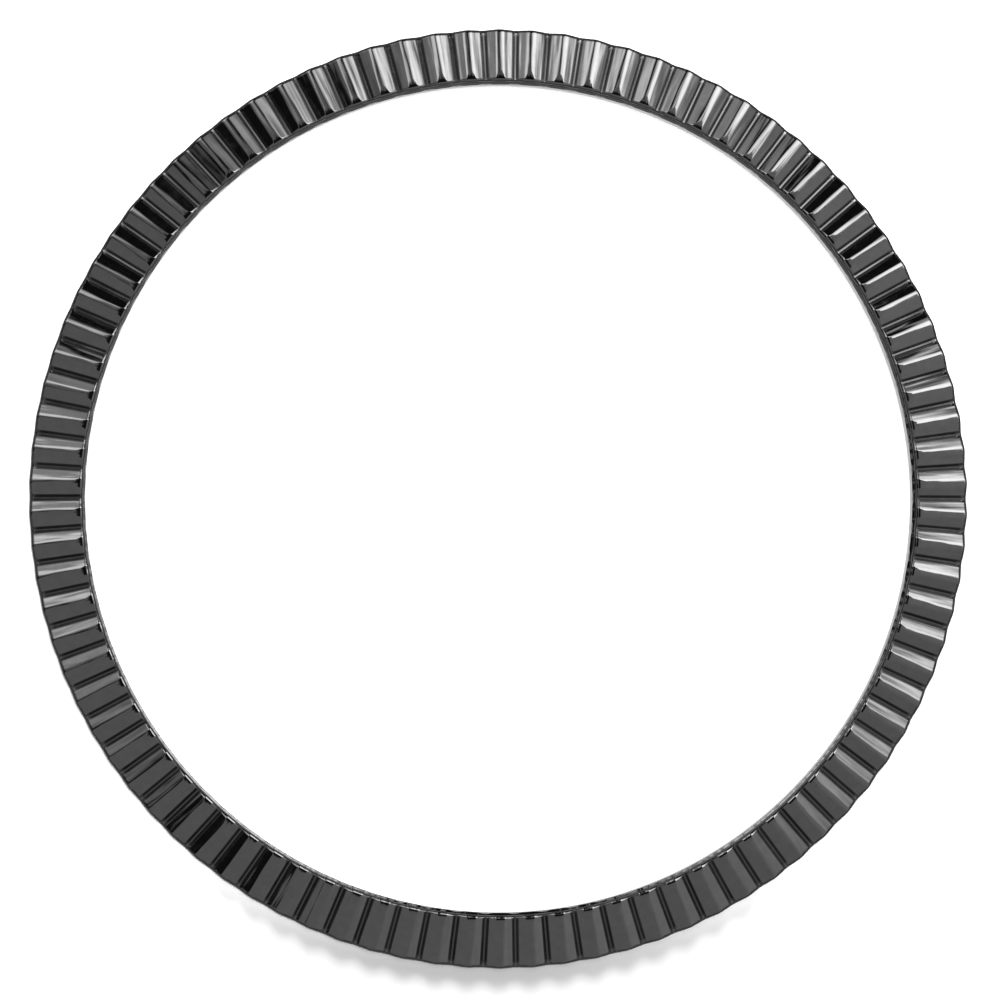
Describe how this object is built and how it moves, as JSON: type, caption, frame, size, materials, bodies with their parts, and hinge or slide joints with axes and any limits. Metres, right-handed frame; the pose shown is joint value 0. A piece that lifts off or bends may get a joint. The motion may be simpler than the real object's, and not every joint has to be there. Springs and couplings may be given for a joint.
{
  "type": "smartwatch bezel ring",
  "caption": "Polished dark steel ring with a fluted face that sticks over the bezel of a round smartwatch, with its foam tape and peel-off liner.",
  "frame": {"origin": "centre of the ring, on the plane that its feet stand on", "axes": "+Z along the ring's axis, out of the fluted face; a crest lies on +Y, which is up in the picture"},
  "size_m": [0.0436, 0.0436, 0.0018],
  "materials": {
    "dark_polished_steel": "mirror polished steel with a dark grey plating",
    "adhesive": "clear yellowish acrylic adhesive, tacky gloss",
    "foam": "matte black closed-cell foam",
    "liner_paper": "coated paper, satin"
  },
  "bodies": {
    "liner": {"release_liner": "liner_paper"},
    "ring": {"fluted_ring": "dark_polished_steel", "adhesive_ring_side": "adhesive", "foam_strip": "foam", "adhesive_watch_side": "adhesive"}
  },
  "joints": [
    {"name": "liner_peel", "type": "slide", "parent": "liner", "child": "ring", "axis": [0, 0, 1], "range_m": [0, 0.006]}
  ]
}
